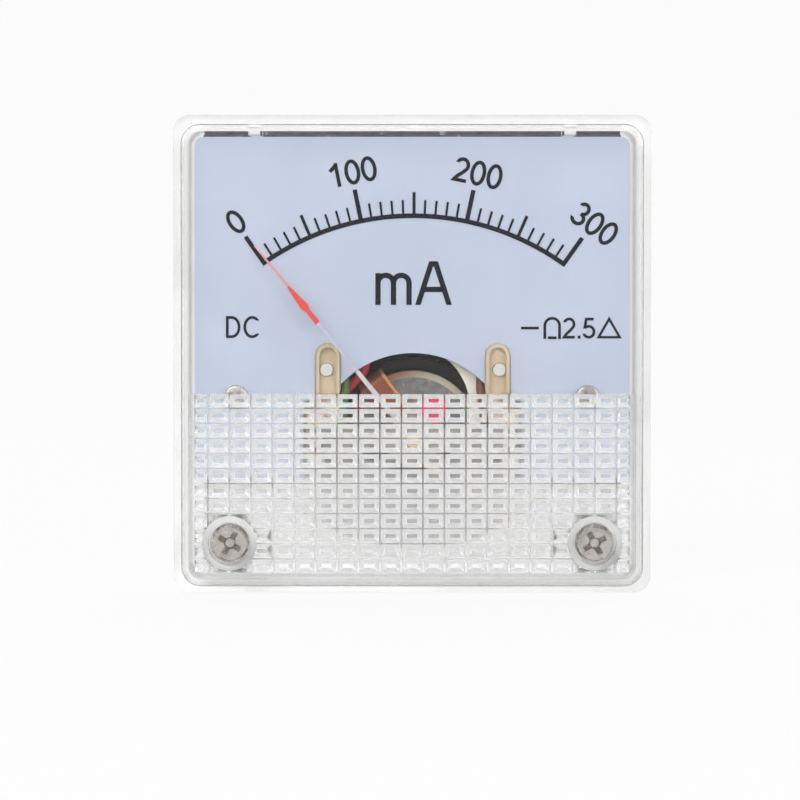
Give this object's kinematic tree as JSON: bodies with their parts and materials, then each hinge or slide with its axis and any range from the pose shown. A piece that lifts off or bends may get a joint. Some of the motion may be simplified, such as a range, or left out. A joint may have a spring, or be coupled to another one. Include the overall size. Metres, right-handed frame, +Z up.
{
  "type": "analog panel meter",
  "caption": "Square moving-coil panel meter: clear ribbed cover over a pale dial and red pointer, round body behind the flange, with threaded terminals and mounting studs.",
  "frame": {"origin": "on the round body's axis, in the plane where the flange's back meets the panel", "axes": "+Y along the body's axis from the window to the terminals, +Z up the dial, +X to the right as seen from the front"},
  "size_m": [0.045, 0.033, 0.045],
  "materials": {
    "white_case": "satin",
    "clear_cover": "gloss",
    "dial_sheet": "satin",
    "print": "matte",
    "plated_steel": "polished",
    "ivory_frame": "satin",
    "soft_iron": "satin",
    "magnet": "satin",
    "die_cast": "matte",
    "brass": "satin",
    "bronze_spring": "satin",
    "sapphire": "gloss",
    "lever_red": "gloss",
    "former_sheet": "satin",
    "copper_wire": "gloss",
    "pointer_sheet": "matte",
    "red_cable": "satin",
    "green_cable": "satin",
    "brown_cable": "satin",
    "bobbin_board": "matte"
  },
  "bodies": {
    "meter_body": {"rear_case": "white_case", "front_cover": "clear_cover", "dial_plate": "dial_sheet", "dial_graduations": "print", "movement_frame": "ivory_frame", "yoke_ring": "soft_iron", "core_magnet": "magnet", "front_bridge": "die_cast", "front_jewel_screw": "brass", "rear_jewel_screw": "brass", "front_jewel": "sapphire", "rear_jewel": "sapphire", "front_hairspring": "bronze_spring", "rear_hairspring": "bronze_spring", "rear_spring_tab": "brass", "shunt_bobbin": "bobbin_board", "shunt_winding": "copper_wire", "red_lead": "red_cable", "green_lead": "green_cable", "brown_lead": "brown_cable", "cover_screw_left": "plated_steel", "cover_screw_right": "plated_steel", "dial_screw_left": "plated_steel", "dial_screw_right": "plated_steel", "bridge_screw_left": "plated_steel", "bridge_screw_right": "plated_steel", "core_wedge_left": "die_cast", "core_wedge_right": "die_cast", "terminal_stud_left": "brass", "terminal_stud_right": "brass", "inner_washer_left": "plated_steel", "inner_washer_right": "plated_steel", "outer_washer_left": "plated_steel", "outer_washer_right": "plated_steel", "spring_washer_left": "plated_steel", "spring_washer_right": "plated_steel", "terminal_nut_left": "plated_steel", "terminal_nut_right": "plated_steel", "solder_lug_left": "brass", "solder_lug_right": "brass", "mounting_stud_left": "plated_steel", "mounting_stud_right": "plated_steel"},
    "zero_lever": {"zero_adjust_lever": "lever_red"},
    "pointer_assembly": {"coil_former": "former_sheet", "coil_winding": "copper_wire", "front_spindle": "plated_steel", "rear_spindle": "plated_steel", "pointer": "pointer_sheet", "balance_cross": "former_sheet", "tail_weight": "brass", "side_weight_left": "brass", "side_weight_right": "brass"}
  },
  "joints": [
    {"name": "pointer_turn", "type": "hinge", "parent": "meter_body", "child": "pointer_assembly", "pos_m": [0.00007, 0, -0.00793], "axis": [0, 1, 0], "range_deg": [-3, 84], "stiffness_Nm_per_rad": 0.000014, "deforming": ["front_hairspring", "rear_hairspring"]},
    {"name": "zero_adjust_turn", "type": "hinge", "parent": "meter_body", "child": "zero_lever", "pos_m": [0.00007, 0, -0.00793], "axis": [0, 1, 0], "range_deg": [-10, 10]}
  ]
}
